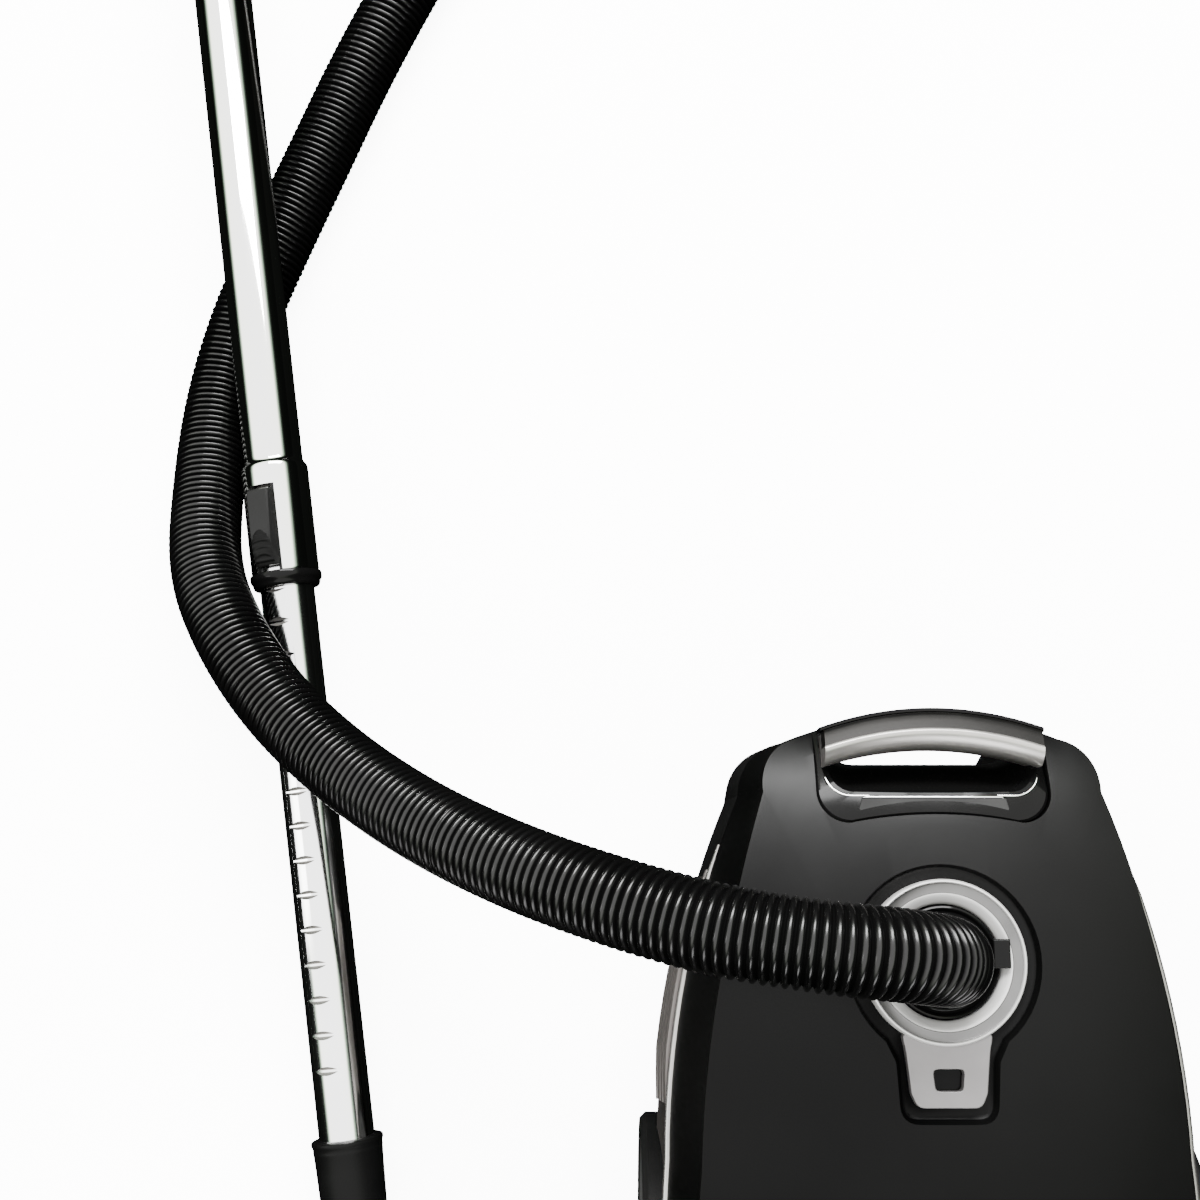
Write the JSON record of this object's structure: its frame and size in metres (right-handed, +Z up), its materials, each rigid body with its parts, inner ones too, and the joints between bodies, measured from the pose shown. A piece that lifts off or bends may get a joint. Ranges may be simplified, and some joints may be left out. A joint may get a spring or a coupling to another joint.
{
  "type": "canister vacuum cleaner",
  "caption": "Wheeled canister vacuum cleaner with hinged lid, corrugated hose, telescopic wand, curved handle and floor nozzle.",
  "frame": {"origin": "middle of the base of the box round canister, wand and nozzle, on the floor", "axes": "+Z up, +Y towards the front of the canister, along the wand to its handle"},
  "size_m": [0.5982, 1.5536, 0.2898],
  "materials": {
    "gloss_black": "satin gloss black moulded ABS",
    "satin_black": "fine matt black moulded ABS",
    "silver_paint": "satin silver painted plastic",
    "bronze_silver": "warm silver painted, ribbed plastic",
    "bright_chrome": "bright chrome plate",
    "satin_silver": "brushed satin silver",
    "soft_rubber": "soft matt black rubber",
    "tyre_rubber": "matt black tread rubber",
    "hub_grey": "dark grey moulded plastic",
    "hose_black": "glossy black corrugated plastic",
    "handle_black": "fine matt black plastic",
    "steel": "plain turned steel",
    "laminations": "stacked dark steel",
    "fan_metal": "pressed aluminium",
    "white_plastic": "off-white moulded plastic",
    "bag_fleece": "off-white filter fleece",
    "filter_foam": "dark grey filter foam",
    "filter_pleats": "white pleated filter paper",
    "window_clear": "smoked clear window",
    "indicator_red": "red moulded plastic",
    "bristle": "black nylon bristle"
  },
  "bodies": {
    "canister": {"base_shell": "satin_black", "side_panels": "bronze_silver", "side_trims": "bright_chrome", "bumper": "soft_rubber", "handle_surround": "gloss_black", "carry_handle": "satin_silver", "handle_grip_pad": "satin_black", "rear_cover": "gloss_black", "lid_hinge_pin": "steel", "dust_bag": "bag_fleece", "bag_holder": "white_plastic", "motor_bulkhead": "satin_black", "motor_filter": "filter_foam", "motor_housing": "white_plastic", "motor_stator": "laminations", "reel_bracket": "steel", "cord_outlet": "soft_rubber", "exhaust_grille": "satin_black", "exhaust_filter": "filter_pleats", "wheel_axles": "steel"},
    "lid": {"lid": "gloss_black", "inlet_ring": "silver_paint", "indicator_window": "window_clear", "inlet_pipe": "satin_black", "inlet_seal": "soft_rubber", "hose_near": "hose_black"},
    "power_button": {"power_button": "satin_silver"},
    "rewind_button": {"rewind_button": "satin_silver"},
    "power_slider": {"power_slider": "satin_silver"},
    "lid_latch": {"lid_latch": "satin_silver"},
    "indicator_flag": {"indicator_flag": "indicator_red"},
    "hose_cuff": {"hose_cuff": "handle_black"},
    "cuff_latch": {"cuff_latch": "handle_black"},
    "rotor": {"motor_rotor": "steel", "motor_fan": "fan_metal"},
    "cord_reel": {"cord_reel": "white_plastic"},
    "wheel_left": {"tyre_left": "tyre_rubber", "hub_left": "hub_grey"},
    "wheel_right": {"tyre_right": "tyre_rubber", "hub_right": "hub_grey"},
    "caster_fork": {"caster_fork": "hub_grey"},
    "caster_wheel": {"caster_wheel": "tyre_rubber"},
    "wand": {"outer_tube": "bright_chrome", "tube_bush": "handle_black", "collar_ring": "handle_black", "handle_grip": "handle_black", "grip_pad": "soft_rubber", "hose_far": "hose_black"},
    "inner_tube": {"inner_tube": "bright_chrome", "nozzle_cuff": "handle_black"},
    "telescope_button": {"telescope_button": "handle_black"},
    "wand_lock": {"wand_lock": "satin_silver"},
    "suction_slider": {"suction_slider": "satin_silver"},
    "hose_swivel": {"hose_swivel": "handle_black"},
    "nozzle_neck": {"nozzle_neck": "handle_black"},
    "nozzle_head": {"nozzle_head": "gloss_black", "sole_plate": "steel"},
    "brushes": {"brush_strips": "bristle"},
    "foot_pedal": {"foot_pedal": "satin_silver"},
    "nozzle_rollers": {"nozzle_rollers": "soft_rubber"}
  },
  "joints": [
    {"name": "lid_open", "type": "hinge", "parent": "canister", "child": "lid", "pos_m": [0.153, -0.5825, 0.183], "axis": [1, 0, 0], "range_deg": [0, 62], "deforming": ["hose_near"]},
    {"name": "latch_press", "type": "slide", "parent": "canister", "child": "lid_latch", "axis": [0, 0, -1], "range_m": [0, 0.003], "stiffness_N_per_m": 400},
    {"name": "power_press", "type": "slide", "parent": "canister", "child": "power_button", "axis": [0, 0, -1], "range_m": [0, 0.003], "stiffness_N_per_m": 600},
    {"name": "rewind_press", "type": "slide", "parent": "canister", "child": "rewind_button", "axis": [0, 0, -1], "range_m": [0, 0.003], "stiffness_N_per_m": 600},
    {"name": "power_set", "type": "slide", "parent": "canister", "child": "power_slider", "axis": [1, 0, 0], "range_m": [-0.015, 0.015]},
    {"name": "cuff_turn", "type": "hinge", "parent": "lid", "child": "hose_cuff", "pos_m": [0.153, -0.3265, 0.186], "axis": [0, 0, 1], "continuous": true},
    {"name": "cuff_latch_press", "type": "slide", "parent": "lid", "child": "cuff_latch", "axis": [-1, 0, 0], "range_m": [0, 0.001], "stiffness_N_per_m": 300},
    {"name": "indicator_move", "type": "slide", "parent": "lid", "child": "indicator_flag", "axis": [0, 1, 0], "range_m": [0, 0.003], "stiffness_N_per_m": 5},
    {"name": "wheel_left_roll", "type": "hinge", "parent": "canister", "child": "wheel_left", "pos_m": [0.022, -0.4845, 0.075], "axis": [1, 0, 0], "continuous": true},
    {"name": "wheel_right_roll", "type": "hinge", "parent": "canister", "child": "wheel_right", "pos_m": [0.284, -0.4845, 0.075], "axis": [1, 0, 0], "continuous": true},
    {"name": "caster_turn", "type": "hinge", "parent": "canister", "child": "caster_fork", "pos_m": [0.153, -0.2645, 0.036], "axis": [0, 0, 1], "continuous": true},
    {"name": "caster_roll", "type": "hinge", "parent": "caster_fork", "child": "caster_wheel", "pos_m": [0.153, -0.2765, 0.016], "axis": [1, 0, 0], "continuous": true},
    {"name": "rotor_spin", "type": "hinge", "parent": "canister", "child": "rotor", "pos_m": [0.153, -0.4465, 0.088], "axis": [0, 1, 0], "continuous": true},
    {"name": "reel_spin", "type": "hinge", "parent": "canister", "child": "cord_reel", "pos_m": [0.153, -0.5665, 0.084], "axis": [1, 0, 0], "continuous": true},
    {"name": "wand_lift", "type": "slide", "parent": "canister", "child": "wand", "axis": [0, 0, 1], "range_m": [0, 0.06], "deforming": ["hose_far"]},
    {"name": "wand_extend", "type": "slide", "parent": "wand", "child": "inner_tube", "axis": [0.1285, -0.9893, -0.0698], "range_m": [-0.3, 0.04]},
    {"name": "telescope_press", "type": "slide", "parent": "wand", "child": "telescope_button", "axis": [-0.1285, 0.9893, 0.0698], "range_m": [-0.003, 0.0025], "stiffness_N_per_m": 500},
    {"name": "wand_lock_press", "type": "slide", "parent": "wand", "child": "wand_lock", "axis": [0.3307, 0.1091, -0.9374], "range_m": [0, 0.0018], "stiffness_N_per_m": 500},
    {"name": "suction_set", "type": "slide", "parent": "wand", "child": "suction_slider", "axis": [-0.1285, 0.9893, 0.0698], "range_m": [-0.006, 0.006]},
    {"name": "hose_turn", "type": "hinge", "parent": "wand", "child": "hose_swivel", "pos_m": [-0.2745, 0.627, 0.04315], "axis": [0.0233, 0.9427, -0.3329], "continuous": true},
    {"name": "neck_turn", "type": "hinge", "parent": "inner_tube", "child": "nozzle_neck", "pos_m": [-0.15032, -0.50674, 0.02642], "axis": [-0.1285, 0.9893, 0.0698], "range_deg": [-90, 90]},
    {"name": "head_tilt", "type": "hinge", "parent": "nozzle_neck", "child": "nozzle_head", "pos_m": [-0.14133, -0.57599, 0.02154], "axis": [0.9917, 0.1288, 0], "range_deg": [-80, 3]},
    {"name": "pedal_press", "type": "hinge", "parent": "nozzle_head", "child": "foot_pedal", "pos_m": [-0.13527, -0.6226, 0.041], "axis": [0.9917, 0.1288, 0], "range_deg": [0, 8]},
    {"name": "brush_lift", "type": "slide", "parent": "nozzle_head", "child": "brushes", "axis": [0, 0, 1], "range_m": [0, 0.004]},
    {"name": "rollers_roll", "type": "hinge", "parent": "nozzle_head", "child": "nozzle_rollers", "pos_m": [-0.14197, -0.57103, 0.008], "axis": [0.9917, 0.1288, 0], "continuous": true}
  ],
  "couplings": [
    {"joint": "brush_lift", "follows": "pedal_press", "m_per_rad": 0.028648}
  ]
}
